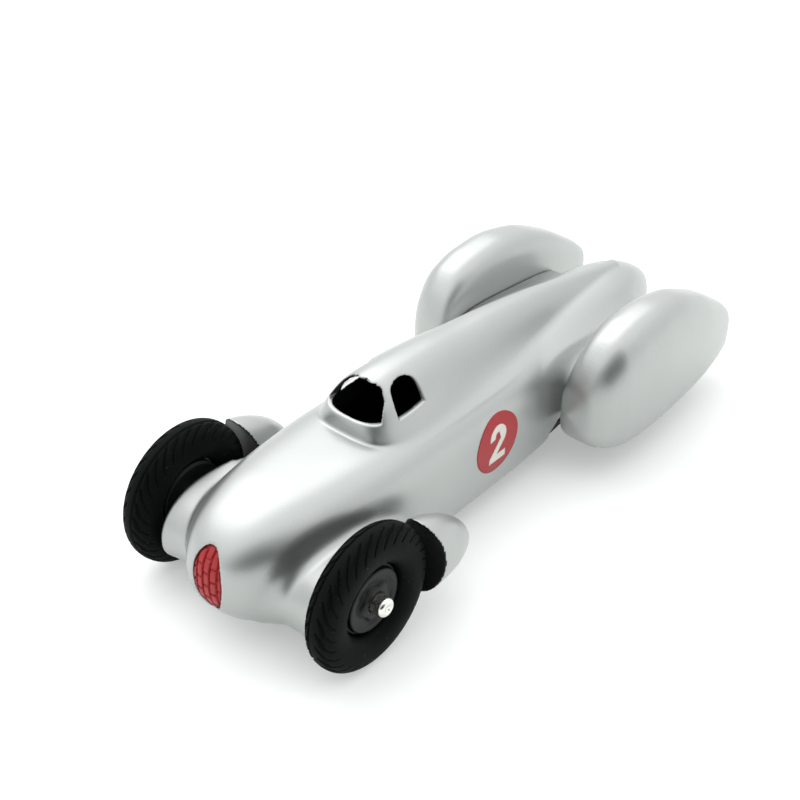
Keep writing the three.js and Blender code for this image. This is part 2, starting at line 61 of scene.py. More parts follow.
# x, middle y, half width of the tyre
WHEELS = {"front": (FRONT_AXLE_X, 24.9, 3.5), "rear": (REAR_AXLE_X, 21.4, 2.7)}
AXLES = {"front": (FRONT_AXLE_X, 2.15, 30.4), "rear": (REAR_AXLE_X, 1.5, 24.6)}
GAP = 0.3
SEAM = 0.12
WALL = 1.5
CABIN_WALL = 0.8
POD_WALL = 1.3
# play of an axle in the holes of the body and the spats
AXLE_PLAY = 0.7
# share of the width by which the hull tucks in towards its bottom
HULL_TUCK = 0.07
MID_Z = 17.0
NOSE_CAP = (59.4, 78.4)
TAIL_CAP = (-50.0, -73.2)
FLARE_Y = 20.0
PLATE_TOP = 6.6
# deep is how far the mesh lies behind the skin, rim the play round it
GRILLE = {"z": 17.5, "half_w": 3.7, "half_h": 7.5, "deep": 1.0, "rim": 0.15}
ROUNDEL = {"x": 5.4, "z": 18.5, "r": 7.25}

# x, half width, bottom, top, upper exponent, lower exponent
HULL = [
    (-76, 6.4, 7.5, 27.5, 2.3, 2.6), (-58.6, 9.2, 5.0, 29.3, 2.4, 3.8), (-35.6, 12.6, 4.4, 30.2, 2.8, 7),
    (-0.6, 15.2, 4.0, 30.8, 3.4, 11), (34.4, 15.6, 4.0, 31.5, 3.5, 11), (49.4, 14.9, 4.0, 31.6, 3.3, 9),
    (59.4, 14.0, 4.0, 31.4, 3.0, 5), (69.4, 12.9, 4.2, 29.6, 2.7, 3.2), (78.4, 12.0, 4.8, 26.6, 2.4, 2.5),
]
# x, half width at the foot, half width of the bubble, top
CANOPY = [
    (-60, 1.9, 0.8, 29.4), (-46, 3.8, 1.7, 32.4), (-35, 5.7, 2.8, 34.7), (-24, 8.1, 4.2, 36.9),
    (-10, 10.9, 5.6, 38.9), (2, 12.2, 6.8, 40.1), (14, 12.5, 8.1, 41.5),
    (25, 12.4, 8.9, 42.03), (40, 12.4, 8.9, 42.03),
]
CANOPY_FRONT = (25.4, 38.7)
CANOPY_BASE = 28.8
CANOPY_FLARE = 3.0
# how deep the canopy's solid reaches into the hull
CANOPY_FOOT = 22.0
ROOF_POWER = 2.2
# x, top, bottom, half width, middle y
POD = [
    (-78.4, 12.5, 12.5, 0.4, 21.6), (-77.9, 16.2, 8.4, 1.7, 21.6), (-75.6, 18.9, 6.6, 2.7, 21.6),
    (-68.6, 24.2, 6.2, 4.4, 21.8), (-59.6, 29.8, 6.1, 5.8, 22.2), (-47.6, 34.8, 6.0, 6.9, 22.6),
    (-37.6, 36.4, 6.0, 7.3, 22.8), (-30.6, 36.0, 6.1, 7.3, 22.8), (-24.6, 34.2, 6.7, 7.0, 22.8),
    (-19.6, 30.0, 8.0, 6.0, 22.2), (-16.4, 24.2, 10.6, 4.1, 20.7), (-14.8, 17.0, 17.0, 0.4, 18.8),
]
# x, top, bottom, half width
FAIRING = [
    (28.5, 12.4, 11.6, 0.6), (29.3, 15.4, 10.2, 1.6), (31.5, 18.6, 9.0, 2.9),
    (36, 22.3, 8.0, 4.6), (42.4, 25.2, 7.6, 5.5), (51.4, 27.2, 7.6, 5.8),
]
FAIRING_Y = 25.0
# outlines as (y, z) and (x, z)
WINDSCREEN = [
    (-7.1, 35.1), (-3.6, 35.1), (0, 35.1), (3.6, 35.1), (7.1, 35.1), (5.65, 38.4),
    (3.6, 40.5), (2.0, 40.9), (0, 41.1), (-2.0, 40.9), (-3.6, 40.5), (-5.65, 38.4),
]
SIDE_WINDOW = [
    (30.75, 34.6), (30.5, 37.6), (29.5, 39.8), (26.9, 40.7), (24.6, 40.6),
    (23.1, 39.8), (22.65, 38.2), (22.5, 35.1), (26.3, 34.7),
]


# ---------- number helpers ----------
def curve(rows, col):
    """Monotone cubic through the rows of a station table, for one column."""
    x = np.array([r[0] for r in rows], float)
    y = np.array([r[col] for r in rows], float)
    slope = np.diff(y) / np.diff(x)
    a, b = slope[:-1], slope[1:]
    inner = np.where(a * b > 0, 2 * a * b / np.where(a + b == 0, 1, a + b), 0)
    m = np.concatenate([slope[:1], inner, slope[-1:]])

    def at(v):
        i = np.clip(np.searchsorted(x, v) - 1, 0, len(x) - 2)
        h = x[i + 1] - x[i]
        t = np.clip((v - x[i]) / h, 0, 1)
        t2, t3 = t * t, t * t * t
        return ((2 * t3 - 3 * t2 + 1) * y[i] + (t3 - 2 * t2 + t) * h * m[i]
                + (3 * t2 - 2 * t3) * y[i + 1] + (t3 - t2) * h * m[i + 1])

    return at


def clamp01(v):
    return min(1.0, max(0.0, v))


def spow(v, p):
    return np.sign(v) * np.abs(v) ** p


def crowd(a, b, n, near_a=False, near_b=False):
    """n values from a to b, packed closer together near one end, where a cap closes."""
    t = np.linspace(0, 1, n)
    if near_a:
        t = t ** 3
    elif near_b:
        t = 1 - (1 - t) ** 3
    return a + (b - a) * t


# ---------- lofts ----------
def loft(rings):
    """Closed surface through equal rings of points: (points, quads, triangles), ends closed by fans."""
    rings = np.asarray(rings, float)
    count, n = rings.shape[:2]
    index = np.arange(count * n).reshape(count, n)
    nxt = np.roll(index, -1, axis=1)
    quads = np.stack([index[:-1], index[1:], nxt[1:], nxt[:-1]], -1).reshape(-1, 4)
    points = np.vstack([rings.reshape(-1, 3), rings[0].mean(0), rings[-1].mean(0)])
    first, last = count * n, count * n + 1
    fan_a = np.stack([np.full(n, first), index[0], nxt[0]], -1)
    fan_b = np.stack([np.full(n, last), nxt[-1], index[-1]], -1)
    return points, quads, np.vstack([fan_a, fan_b])


def unit_superellipse(n, upper, lower):
    """n directions round a unit superellipse, evenly spread, with one exponent above and one below."""
    a = 2 * math.pi * np.arange(n) / n
    c, s = np.cos(a), np.sin(a)
    e = np.where(s >= 0, upper, lower)
    r = (np.abs(c) ** e + np.abs(s) ** e) ** (-1 / e)
    return r * c, r * s


HULL_AT = [curve(HULL, c) for c in range(1, 6)]
CANOPY_AT = [curve(CANOPY, c) for c in range(1, 4)]
POD_AT = [curve(POD, c) for c in range(1, 5)]
FAIRING_AT = [curve(FAIRING, c) for c in range(1, 4)]


def cap_scales(x):
    """Shares of the full section left at x, above the middle and below it: the nose stays blunter above."""
    n = clamp01((x - NOSE_CAP[0]) / (NOSE_CAP[1] - NOSE_CAP[0]))
    t = clamp01((x - TAIL_CAP[0]) / (TAIL_CAP[1] - TAIL_CAP[0]))
    tail = (1 - t ** 2.3) ** (1 / 2.1)
    return (1 - n ** 4) ** (1 / 3.2) * tail, (1 - n ** 2.8) ** (1 / 2.4) * tail


def hull_ring(x, inset=0.0, n=120, x_out=None):
    above, below = cap_scales(x)
    half, bottom, top, upper, lower = [f(x) for f in HULL_AT]
    least = 0.4 if inset else 0.0
    w = max(least, half * below - inset)
    up = max(least, (top - MID_Z) * above - inset)
    down = max(least, (MID_Z - bottom) * below - inset)
    c, s = unit_superellipse(n, upper, lower)
    z = MID_Z + np.where(s >= 0, up, down) * s
    tuck = np.clip((MID_Z - z) / 13, 0, 1)
    y = w * c * (1 - HULL_TUCK * tuck * tuck)
    return np.stack([np.full(n, x if x_out is None else x_out), y, z], -1)


def hull():
    tail = crowd(TAIL_CAP[1], -60, 26, near_a=True)
    nose = crowd(60, NOSE_CAP[1], 36, near_b=True)
    return loft([hull_ring(x) for x in np.concatenate([tail[:-1], np.arange(-60, 60, 0.8), nose])])


def hull_inside():
    xs = np.concatenate([crowd(-70.5, -60, 10), np.arange(-59, 60, 1.5), crowd(60.5, 74.6, 14)])
    return loft([hull_ring(x, WALL, 60, x * 0.965 + 0.3) for x in xs])


def canopy_ring(x, inset=0.0, n=61):
    """Arch of the bubble with a concave foot. f closes its sides towards the front and g its roof."""
    f = clamp01((x - CANOPY_FRONT[0]) / (CANOPY_FRONT[1] - CANOPY_FRONT[0]))
    g = clamp01((x - 24) / (CANOPY_FRONT[1] - 24))
    w0, b0, t = [c(x) for c in CANOPY_AT]
    base = CANOPY_BASE - 1.5 * clamp01((10 - x) / 70)
    b = max(0.3 if inset else 0.0, b0 * (1 - f ** 4.2) ** (1 / 4.2) - inset)
    w = b if inset else max(b, w0 * (1 - f ** 3) ** (1 / 3))
    top = base + max(0.0, (t - base) * (1 - g ** 3.2) ** (1 / ROOF_POWER) - inset)
    a = math.pi * np.arange(n) / (n - 1)
    c = np.where(np.arange(n) == n // 2, 0.0, np.cos(a))
    z = base + (top - base) * np.abs(np.sin(a)) ** (2 / ROOF_POWER)
    y = b * spow(c, 2 / ROOF_POWER) + np.sign(c) * (w - b) * np.exp(-(z - base) / CANOPY_FLARE)
    xs = x - inset * f
    arch = np.stack([np.full(n, xs), y, z], -1)
    return np.vstack([arch, [(xs, -0.7 * w, CANOPY_FOOT), (xs, 0.7 * w, CANOPY_FOOT)]])


def canopy(inset=0.0):
    front = crowd(26, CANOPY_FRONT[1], 40, near_b=True)
    return loft([canopy_ring(x, inset) for x in np.concatenate([np.arange(-60, 26, 1.0), front])])


def side_loft(y0, y1, outline, steps, n=90, power=2.2, lean=0.0):
    """Bulge out of the side of the car, a superellipse in XZ at each y.

    Its top rises towards the nose by lean, as a share of its height per millimetre.
    """
    c, s = unit_superellipse(n, power, power)
    rings = []
    for y in np.linspace(y0, y1, steps):
        o = outline(y)
        x = o["x"] + np.where(c > 0, o["fore"], o["aft"]) * c
        z = o["z"] + np.where(s > 0, o["up"] * (1 + lean * (x - o["x"])), o["down"]) * s
        rings.append(np.stack([x, np.full(n, y), z], -1))
    return loft(rings)


def front_flare(inset=0.0):
    """The swelling that carries the front axle out to the wheel."""
    end = FLARE_Y - (WALL if inset else 0)

    def outline(y):
        t = clamp01((y - 8) / (end - 8))
        waist = 1 + 0.06 * (1 - t) ** 3 - 0.06 * math.sin(math.pi * t)
        return {"x": 58.4, "z": 12.5, "fore": 13 * waist - inset, "aft": 24 - 5 * t - inset,
                "up": 9.8 * waist - inset, "down": 16 if inset else 8.3}

    return side_loft(11 if inset else 8, end, outline, 16)


def web(inset=0.0):
    """The web between the body side and a rear spat, swept forward where it meets the body."""
    def outline(y):
        near = 1 - clamp01((y - 12) / 4.5)
        return {"x": -38, "z": 17.5, "fore": 20 + 6 * near ** 2 - inset, "aft": 22 - inset,
                "up": 7.2 + 1.2 * near ** 2 - inset, "down": 24 if inset else 5.4}

    return side_loft(10 if inset else 8, 13.6 if inset else 17.5, outline, 22, 120, 3.2, 0.015)


def pod_ring(x, inset=0.0, floor=None, n=120):
    """Section of a spat: flat underneath, rounder on its outer shoulder than on its inner one."""
    t, b, w0, middle = [f(x) for f in POD_AT]
    top = t - inset
    bottom = b + inset if floor is None else floor
    w = max(0.3, w0 - inset)
    half = max(0.02, (top - bottom) / 2)
    a = 2 * math.pi * np.arange(n) / n
    c, s = np.cos(a), np.sin(a)
    e = np.where(s < 0, 5.0, np.where(c > 0, 2.3, 3.2))
    r = (np.abs(c) ** e + np.abs(s) ** e) ** (-1 / e)
    return np.stack([np.full(n, x), middle + w * r * c, (top + bottom) / 2 + half * r * s], -1)


def pod():
    tail = crowd(POD[0][0], -70, 24, near_a=True)
    nose = crowd(-22, POD[-1][0], 24, near_b=True)
    return loft([pod_ring(x) for x in np.concatenate([tail[:-1], np.arange(-70, -22, 1.0), nose])])


def pod_inside():
    """Hollow of a spat, open far below the floor of the block."""
    return loft([pod_ring(x, POD_WALL, -14) for x in np.linspace(-70, -18.4, 40)])


def fairing_body(grow=0.0, n=80):
    """Teardrop behind a front wheel, still whole where the wheel will be cut out of it."""
    a = 2 * math.pi * np.arange(n) / n
    rings = []
    for x in np.concatenate([crowd(FAIRING[0][0], 32, 12, near_a=True)[:-1], np.linspace(32, 50, 20)]):
        t, b, w = [f(x) for f in FAIRING_AT]
        t, b, w = t + grow, b - grow, w + grow
        y = FAIRING_Y + w * spow(np.cos(a), 0.95)
        z = (t + b) / 2 + (t - b) / 2 * spow(np.sin(a), 0.95)
        rings.append(np.stack([np.full(n, x), y, z], -1))
    return loft(rings)


def stub(grow=0.0):
    """Arm that holds a front fairing in the body side."""
    outline = {"x": 40, "z": 12.5, "fore": 4 + grow, "aft": 5 + grow, "up": 3.4 + grow, "down": 3.4 + grow}
    return side_loft(10 if grow else 12.6, 24, lambda y: outline, 8, 60)


def rod(x, z, r, y0, y1, n=96):
    """Cylinder along Y."""
    a = 2 * math.pi * np.arange(n) / n
    ring = [np.stack([x + r * np.cos(a), np.full(n, y), z + r * np.sin(a)], -1) for y in (y0, y1)]
    return loft(ring)


def prism(outline, low, high, axis):
    """An outline pushed along X or Y, as a closed mesh."""
    p = np.array(outline, float)
    place = 0 if axis == "x" else 1
    return loft([np.insert(p, place, d, axis=1) for d in (low, high)])


def oval(cy, cz, a, b, n=72):
    """Outline of an ellipse with half axes a and b."""
    t = 2 * math.pi * np.arange(n) / n
    return np.stack([cy + a * np.cos(t), cz + b * np.sin(t)], -1)


def rounded(points, corners, steps=6):
    """Closed Catmull-Rom outline through the points, with sharp corners at the given indices."""
    p = np.array(points, float)
    n = len(p)
    out = []
    for i in range(n):
        a, b, c, d = p[i - 1], p[i], p[(i + 1) % n], p[(i + 2) % n]
        if i in corners:
            a = b
        if (i + 1) % n in corners:
            d = c
        for t in np.arange(steps) / steps:
            out.append(0.5 * (2 * b + (c - a) * t + (2 * a - 5 * b + 4 * c - d) * t * t
                              + (3 * b - a - 3 * c + d) * t ** 3))
    return np.array(out)


def sill_half(x):
    """Half width of the hull near its bottom, where the base plate sits."""
    k = cap_scales(x)[1]
    w, b, _, _, el = [f(x) for f in HULL_AT]
    u = (MID_Z - PLATE_TOP) / (MID_Z - b) / k
    return w * k * (1 - min(0.96, u) ** el) ** (1 / el) * 0.95 - 1.3


def plate_room(grow, z0, z1):
    """Block with the base plate's outline."""
    stations = [-57, -52, -42, -30, -15, 0, 16, 32, 44, 53, 60, 65, 69]
    half = [sill_half(x) + grow for x in stations]
    xs = [stations[0] - grow, *stations[1:-1], stations[-1] + grow]
    outline = list(zip(xs, half)) + list(zip(xs, [-h for h in half]))[::-1]
    rings = [[(x, y, z) for x, y in outline] for z in (z0, z1)]
    return loft(rings)


# ---------- distance fields ----------
class Field:
    """A dense block of space that holds distances to surfaces, negative inside."""

    def __init__(self, low, high, voxel=VOXEL):
        self.voxel = voxel
        self.start = np.floor(np.array(low) / voxel).astype(int)
        self.shape = tuple((np.ceil(np.array(high) / voxel).astype(int) - self.start + 1).tolist())
        self.transform = vdb.createLinearTransform(voxel)

    def of(self, mesh):
        """Distance to a closed mesh, right within BAND of it."""
        points, quads, triangles = mesh
        grid = vdb.FloatGrid.createLevelSetFromPolygons(
            points.astype(np.float32), triangles=triangles.astype(np.uint32), quads=quads.astype(np.uint32),
            transform=self.transform, halfWidth=BAND / self.voxel)
        out = np.full(self.shape, BAND, np.float32)
        grid.copyToArray(out, ijk=tuple(int(v) for v in self.start))
        return out

    def sample(self, values, points):
        """Trilinear value at points in millimetres."""
        p = np.asarray(points) / self.voxel - self.start
        top = np.array(self.shape) - 2
        i = np.clip(np.floor(p).astype(int), 0, top)
        f = np.clip(p - i, 0, 1)
        total = 0
        for dx in (0, 1):
            wx = f[:, 0] if dx else 1 - f[:, 0]
            for dy in (0, 1):
                wy = f[:, 1] if dy else 1 - f[:, 1]
                for dz in (0, 1):
                    wz = f[:, 2] if dz else 1 - f[:, 2]
                    total = total + wx * wy * wz * values[i[:, 0] + dx, i[:, 1] + dy, i[:, 2] + dz]
        return total

    def gradient(self, values, points):
        """Slope of the field at the points, which is the direction out of the surface."""
        step = 0.8 * self.voxel
        out = np.empty((len(points), 3))
        for k in range(3):
            d = np.zeros(3)
            d[k] = step
            out[:, k] = (self.sample(values, points + d) - self.sample(values, points - d)) / (2 * step)
        return out

    def settle(self, values, points, rounds=3):
        """Moves points onto the zero surface."""
        for _ in range(rounds):
            g = self.gradient(values, points)
            d = self.sample(values, points)[:, None]
            move = g * d / np.maximum((g * g).sum(1), 0.05)[:, None]
            points = points - np.clip(move, -0.6 * self.voxel, 0.6 * self.voxel)
        return points

    def mesh(self, values):
        """Points and quads of the zero surface."""
        grid = vdb.FloatGrid(BAND)
        grid.transform = self.transform
        grid.copyFromArray(values, ijk=tuple(int(v) for v in self.start))
        points, _, quads = grid.convertToPolygons(isovalue=0.0, adaptivity=0.0)
        return self.settle(values, points.astype(float)), quads


def soften(a):
    """Light binomial blur, which takes out the facets of the lofts."""
    for axis in range(3):
        line = np.moveaxis(a, axis, 0)
        blurred = a.copy()
        np.moveaxis(blurred, axis, 0)[1:-1] = 0.25 * line[:-2] + 0.5 * line[1:-1] + 0.25 * line[2:]
        a = blurred
    return a


def join(a, b, r):
    """Union with a round fillet of radius r in the hollow between the shapes."""
    u = np.maximum(r - a, 0)
    v = np.maximum(r - b, 0)
    return np.maximum(r, np.minimum(a, b)) - np.sqrt(u * u + v * v)


def cut(a, b, r):
    """a without b, with the new edge rounded to radius r."""
    u = np.maximum(r + a, 0)
    v = np.maximum(r - b, 0)
    return np.minimum(-r, np.maximum(a, -b)) + np.sqrt(u * u + v * v)


def both_sides(values):
    """Joins a field with its mirror image across the car's centre plane; the block is symmetric in y."""
    return np.minimum(values, values[:, ::-1, :])


# ---------- pieces ----------
def link(name, data):
    """Puts a new object into the scene."""
    obj = bpy.data.objects.new(name, data)
    bpy.context.scene.collection.objects.link(obj)
    return obj


def turn_outwards(obj, weld=False):
    """Makes a mesh's faces look outwards; weld first joins the points that lie in one place."""
    b = bmesh.new()
    b.from_mesh(obj.data)
    if weld:
        bmesh.ops.remove_doubles(b, verts=b.verts, dist=1e-7)
        bmesh.ops.dissolve_degenerate(b, dist=1e-8, edges=b.edges)
    bmesh.ops.recalc_face_normals(b, faces=b.faces)
    b.to_mesh(obj.data)
    b.free()
    return obj


def add_mesh(name, points, faces, materials, normals=None, face_material=None):
    """New object from millimetre points."""
    mesh = bpy.data.meshes.new(name)
    mesh.from_pydata((np.asarray(points) * MM).tolist(), [], [list(map(int, f)) for f in faces])
    mesh.validate()
    for material in materials:
        mesh.materials.append(material)
    mesh.polygons.foreach_set("use_smooth", [True] * len(mesh.polygons))
    if face_material is not None:
        mesh.polygons.foreach_set("material_index", face_material.astype(np.int32))
    if normals is not None:
        mesh.normals_split_custom_set_from_vertices(normals.tolist())
    mesh.update()
    return link(name, mesh)


def thin_out(points, quads, faces_wanted):
    """Collapses flat stretches until about faces_wanted triangles are left."""
    mesh = bpy.data.meshes.new("thinning")
    mesh.from_pydata(points.tolist(), [], quads.tolist())
    obj = link("thinning", mesh)
    if 2 * len(quads) > faces_wanted:
        decimate = obj.modifiers.new("thin", "DECIMATE")
        decimate.ratio = faces_wanted / (2 * len(quads))
    evaluated = obj.evaluated_get(bpy.context.evaluated_depsgraph_get())
    result = evaluated.to_mesh()
    co = np.empty(len(result.vertices) * 3)
    result.vertices.foreach_get("co", co)
    faces = [tuple(p.vertices) for p in result.polygons]
    evaluated.to_mesh_clear()
    bpy.data.objects.remove(obj)
    bpy.data.meshes.remove(mesh)
    return co.reshape(-1, 3), faces


def piece_from(name, field, values, faces_wanted, materials, pick=None):
    """Meshes a field, thins it, and takes its shading normals from the field.

    pick gives the material's number for each face, from the middles of the faces.
    """
    points, quads = field.mesh(values)
    points, faces = thin_out(points, quads, faces_wanted)
    points = field.settle(values, points, 2)
    normals = field.gradient(values, points)
    normals /= np.maximum(np.linalg.norm(normals, axis=1), 1e-6)[:, None]
    chosen = None
    if pick:
        middles = np.array([points[list(f)].mean(0) for f in faces])
        chosen = pick(middles)
    return add_mesh(name, points, faces, materials, normals, chosen)


def finish_piece(obj, body, slot, *nodes):
    """Says which body a piece rides on and the frame's nodes it stands in for; slot is not used."""
    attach(obj, body)
    if nodes:
        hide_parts(*nodes)


# ---------- materials ----------
class Nodes:
    """Short calls for building one material's node tree."""

    def __init__(self, name):
        self.material = bpy.data.materials.new(name)
        self.material.use_nodes = True
        self.tree = self.material.node_tree
        self.shader = self.tree.nodes["Principled BSDF"]
        self.place = self.add("ShaderNodeTexCoord").outputs["Object"]

    def add(self, kind, **inputs):
        node = self.tree.nodes.new(kind)
        for key, value in inputs.items():
            socket = node.inputs[key.replace("_", " ")]
            if isinstance(value, bpy.types.NodeSocket):
                self.tree.links.new(value, socket)
            else:
                socket.default_value = value
        return node

    def noise(self, scale, detail=3.0, rough=0.5):
        node = self.add("ShaderNodeTexNoise", Scale=scale, Detail=detail, Roughness=rough, Vector=self.place)
        return node.outputs["Fac"]

    def ramp(self, value, low, high, a, b):
        """Maps value from low..high to a..b, as a number."""
        node = self.add("ShaderNodeMapRange", Value=value)
        node.inputs["From Min"].default_value = low
        node.inputs["From Max"].default_value = high
        node.inputs["To Min"].default_value = a
        node.inputs["To Max"].default_value = b
        return node.outputs["Result"]

    def mix(self, value, a, b):
        """Blend of two colours, as a colour."""
        node = self.tree.nodes.new("ShaderNodeMix")
        node.data_type = "RGBA"
        self.tree.links.new(value, node.inputs["Factor"])
        colours = [s for s in node.inputs if s.type == "RGBA"]
        for socket, colour in zip(colours, (a, b)):
            if isinstance(colour, bpy.types.NodeSocket):
                self.tree.links.new(colour, socket)
            else:
                socket.default_value = (*colour, 1)
        return [s for s in node.outputs if s.type == "RGBA"][0]

    def maths(self, operation, a, b=0.0):
        node = self.tree.nodes.new("ShaderNodeMath")
        node.operation = operation
        for socket, value in zip(node.inputs, (a, b)):
            if isinstance(value, bpy.types.NodeSocket):
                self.tree.links.new(value, socket)
            else:
                socket.default_value = value
        return node.outputs[0]

    def bump(self, height, strength, distance):
        node = self.add("ShaderNodeBump", Height=height, Strength=strength, Distance=distance)
        return node.outputs["Normal"]

    def set(self, **values):
        """Fills the shader's sockets and gives the finished material."""
        for key, value in values.items():
            socket = self.shader.inputs[key.replace("_", " ")]
            if isinstance(value, bpy.types.NodeSocket):
                self.tree.links.new(value, socket)
            elif socket.type == "RGBA":
                socket.default_value = (*value, 1)
            else:
                socket.default_value = value
        return self.material


def silver_paint():
    """Fine metallic paint under satin lacquer, with a faint orange peel."""
    n = Nodes("silver_paint")
    flake = n.noise(9000, 2, 0.6)
    patch = n.noise(60, 3)
    tone = n.mix(n.ramp(flake, 0.3, 0.7, 0, 1), (0.39, 0.405, 0.40), (0.46, 0.475, 0.47))
    colour = n.mix(n.ramp(patch, 0.35, 0.65, 0, 0.25), tone, (0.41, 0.425, 0.42))
    peel = n.bump(n.noise(1400, 2), 0.03, 0.0002)
    return n.set(Base_Color=colour, Metallic=0.9, Roughness=n.ramp(patch, 0.3, 0.7, 0.36, 0.40), Normal=peel,
                 Coat_Weight=0.25, Coat_Roughness=0.12)


def black_plastic(name="black_plastic", tone=0.004, rough=0.42):
    """Satin black moulding with a fine spark-eroded grain."""
    n = Nodes(name)
    patch = n.noise(90, 3)
    colour = n.mix(patch, (tone, tone * 1.05, tone * 1.05), (tone * 1.7, tone * 1.8, tone * 1.8))
    grain = n.bump(n.noise(5200, 3, 0.6), 0.12, 0.0001)
    return n.set(Base_Color=colour, Roughness=n.ramp(patch, 0.3, 0.7, rough - 0.04, rough + 0.06), Normal=grain,
                 Specular_IOR_Level=0.2)


def tyre_rubber():
    """Matt rubber with pale dust caught on it."""
    n = Nodes("tyre_rubber")
    patch = n.noise(140, 4)
    dust = n.ramp(n.noise(1500, 2, 0.7), 0.68, 0.74, 0, 1)
    some = n.ramp(n.noise(190, 2), 0.50, 0.62, 0, 0.5)
    speck = n.maths("MULTIPLY", dust, some)
    base = n.mix(patch, (0.0015, 0.0022, 0.0022), (0.0035, 0.005, 0.0048))
    colour = n.mix(speck, base, (0.12, 0.13, 0.125))
    grain = n.bump(n.noise(3800, 4, 0.6), 0.25, 0.00012)
    return n.set(Base_Color=colour, Roughness=n.ramp(patch, 0.3, 0.7, 0.52, 0.66), Normal=grain,
                 Specular_IOR_Level=0.06)


def bright_steel():
    """Polished steel with fine turning marks."""
    n = Nodes("bright_steel")
    turned = n.noise(2600, 3)
    colour = n.mix(turned, (0.72, 0.71, 0.68), (0.86, 0.85, 0.82))
    return n.set(Base_Color=colour, Metallic=1.0, Roughness=n.ramp(turned, 0.3, 0.7, 0.16, 0.30),
                 Normal=n.bump(turned, 0.08, 0.00005))


def red_print(name="red_print", a=(0.34, 0.024, 0.030), b=(0.42, 0.038, 0.044)):
    """Satin film, red unless other colours are given."""
    n = Nodes(name)
    patch = n.noise(700, 3)
    return n.set(Base_Color=n.mix(patch, a, b), Roughness=n.ramp(patch, 0.3, 0.7, 0.38, 0.5),
                 Normal=n.bump(n.noise(3000, 2), 0.05, 0.0001), Specular_IOR_Level=0.25)


def plain_metal(name, dark, light, rough):
    n = Nodes(name)
    patch = n.noise(1200, 3)
    return n.set(Base_Color=n.mix(patch, dark, light), Metallic=1.0,
                 Roughness=n.ramp(patch, 0.3, 0.7, rough, rough + 0.12), Normal=n.bump(patch, 0.06, 0.00005))


def nylon():
    n = Nodes("natural_nylon")
    patch = n.noise(400, 3)
    return n.set(Base_Color=n.mix(patch, (0.72, 0.70, 0.62), (0.80, 0.78, 0.71)), Subsurface_Weight=0.1,
                 Roughness=n.ramp(patch, 0.3, 0.7, 0.38, 0.5), Normal=n.bump(n.noise(2500, 2), 0.05, 0.0001))


PAINT = silver_paint()
BLACK = black_plastic()
DARK = black_plastic("unlit_inside", 0.003, 0.7)
RUBBER = tyre_rubber()
STEEL = bright_steel()
RED = red_print()
MESH_RED = red_print("grille_red", (0.30, 0.018, 0.022), (0.42, 0.032, 0.034))
PALE = red_print("pale_print", (0.66, 0.63, 0.57), (0.74, 0.71, 0.65))
NYLON = nylon()
BRASS = plain_metal("brass", (0.62, 0.45, 0.18), (0.72, 0.55, 0.25), 0.25)
BLUED = plain_metal("blued_spring", (0.10, 0.12, 0.16), (0.18, 0.21, 0.27), 0.25)


# ---------- body ----------
def body_shell():
    """Fuselage, cabin, front axle flares and rear webs as one hollow moulding."""
    space = Field((-76, -21.6, 2.4), (80.4, 21.6, 43.8))
    fuselage = space.of(hull())
    bubble = space.of(canopy())
    flares = both_sides(space.of(front_flare()))
    webs = both_sides(space.of(web()))
    skin = join(fuselage, flares, 2.6)
    skin = join(skin, webs, 3.0)
    skin = join(skin, bubble, 0.5)
    skin = soften(skin)

    room = np.minimum(space.of(hull_inside()), space.of(canopy(CABIN_WALL)))
    room = np.minimum(room, both_sides(space.of(front_flare(WALL))))
    room = np.minimum(room, both_sides(space.of(web(WALL))))
    room = np.minimum(room, space.of(plate_room(GAP, 0, 9)))
    shell = cut(skin, room, 0.3)
    windows = np.minimum(
        space.of(prism(rounded(WINDSCREEN, (0, 4, 6, 10)), 30.8, 45, "x")),
        space.of(prism(rounded(SIDE_WINDOW, (0, 7)), -14, 14, "y")))
    shell = cut(shell, windows, 0.22)
    pods = both_sides(space.of(pod()))
    shell = cut(shell, pods - SEAM, 0.12)
    nests = both_sides(np.minimum(space.of(fairing_body(GAP)), space.of(stub(GAP))))
    shell = cut(shell, nests, 0.2)
    for x, r, _ in AXLES.values():
        shell = cut(shell, space.of(rod(x, AXLE_Z, r + AXLE_PLAY, -23, 23)), 0.2)
    outline = oval(0, GRILLE["z"], GRILLE["half_w"] + GRILLE["rim"], GRILLE["half_h"] + GRILLE["rim"])
    nest = np.maximum(space.of(prism(outline, 60, 82, "x")), -(skin + GRILLE["deep"] + 0.2))
    shell = cut(shell, nest, 0.2)

    def inside(middles):
        return (space.sample(skin, middles) < -0.55).astype(int) * (space.sample(room, middles) < 0.2)

    obj = piece_from("body_moulding", space, shell, 180000, [PAINT, DARK], inside)
    finish_piece(obj, "chassis", "painted_body", "body_shell")
    return space, skin


def both(name, make, slot, node, body="chassis"):
    """Makes a left piece and its mirror image."""
    left = make(f"{name}_left")
    finish_piece(left, body, slot, f"{node}_left")
    mesh = left.data.copy()
    mesh.name = f"{name}_right"
    right = link(f"{name}_right", mesh)
    flip_y(right)
    finish_piece(right, body, slot, f"{node}_right")


def flip_y(obj):
    """Mirrors a mesh across the centre plane and turns its faces out again."""
    mesh = obj.data
    corner_normals = [tuple(n.vector) for n in mesh.corner_normals]
    has_custom = mesh.has_custom_normals
    co = np.empty(len(mesh.vertices) * 3)
    mesh.vertices.foreach_get("co", co)
    co = co.reshape(-1, 3)
    co[:, 1] *= -1
    by_vertex = np.zeros((len(mesh.vertices), 3))
    if has_custom:
        for loop, n in zip(mesh.loops, corner_normals):
            by_vertex[loop.vertex_index] = (n[0], -n[1], n[2])
    mesh.vertices.foreach_set("co", co.ravel())
    mesh.flip_normals()
    if has_custom:
        mesh.normals_split_custom_set_from_vertices(by_vertex.tolist())
    mesh.update()


